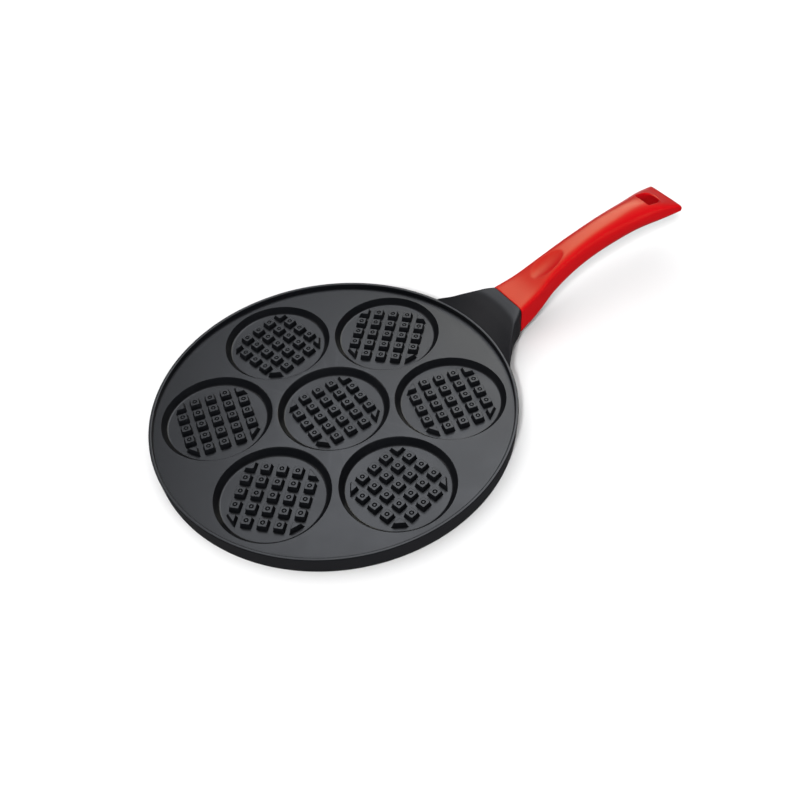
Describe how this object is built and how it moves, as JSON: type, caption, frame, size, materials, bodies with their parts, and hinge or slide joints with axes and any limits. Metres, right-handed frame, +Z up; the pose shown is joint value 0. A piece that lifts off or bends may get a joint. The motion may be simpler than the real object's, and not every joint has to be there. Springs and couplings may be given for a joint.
{
  "type": "pancake pan",
  "caption": "Round cast pancake pan with shallow waffle-patterned cups, a flared neck and a curved hand grip held by one screw.",
  "frame": {"origin": "centre of the round pan on the surface that it rests on, which is the middle of the centre pad's flat underside", "axes": "+X from the pan's centre along the grip, +Z up out of the cooking side, +Y to the left of the grip seen from the pan"},
  "size_m": [0.4498, 0.265, 0.0635],
  "materials": {
    "coating": "die-cast aluminium with a satin black-grey non-stick coating",
    "grip": "moulded heat-resistant plastic with a satin red soft-touch coat",
    "steel": "zinc-plated steel"
  },
  "bodies": {
    "root": {"pan_body": "coating", "handle_grip": "grip", "handle_screw": "steel", "flat_washer": "steel", "spring_washer": "steel"}
  },
  "joints": []
}
